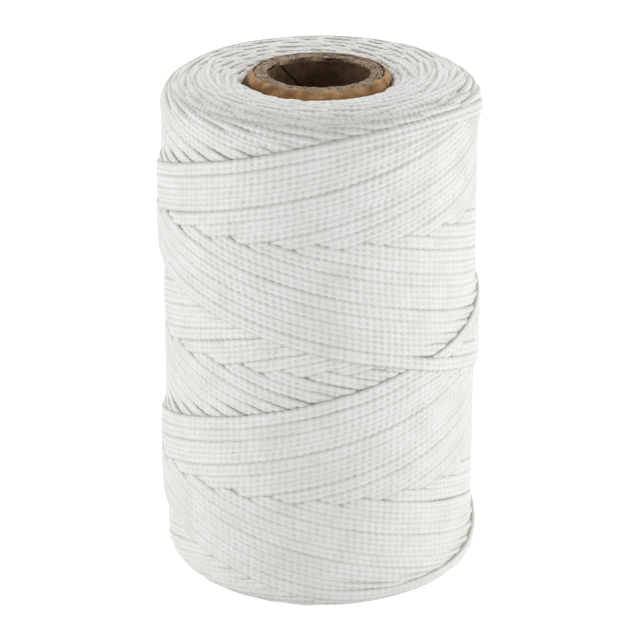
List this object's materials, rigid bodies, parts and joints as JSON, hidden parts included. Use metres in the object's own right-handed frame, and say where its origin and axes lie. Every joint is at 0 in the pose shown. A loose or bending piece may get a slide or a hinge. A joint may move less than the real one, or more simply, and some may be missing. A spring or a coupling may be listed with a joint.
{
  "type": "wound cord reel",
  "caption": "Cross-wound reel of white braided cord on a spiral-wound paperboard tube, open at both ends so that it can turn on a spindle.",
  "frame": {"origin": "centre of the tube's lower end, on the surface that the reel stands on", "axes": "+Z along the tube's axis, upwards; -Y towards the viewer of the picture"},
  "size_m": [0.0824, 0.0824, 0.134],
  "materials": {
    "tube_board": "raw grey-brown chipboard",
    "tube_kraft": "smooth tan kraft paper",
    "cord": "white braided synthetic cord with a soft sheen"
  },
  "bodies": {
    "root": {"tube_inner_liner": "tube_board", "tube_board_ply_1": "tube_board", "tube_board_ply_2": "tube_board", "tube_board_ply_3": "tube_board", "tube_board_ply_4": "tube_board", "tube_board_ply_5": "tube_board", "tube_board_ply_6": "tube_board", "tube_outer_kraft_ply": "tube_kraft", "winding_core": "cord", "outer_winding": "cord"}
  },
  "joints": []
}
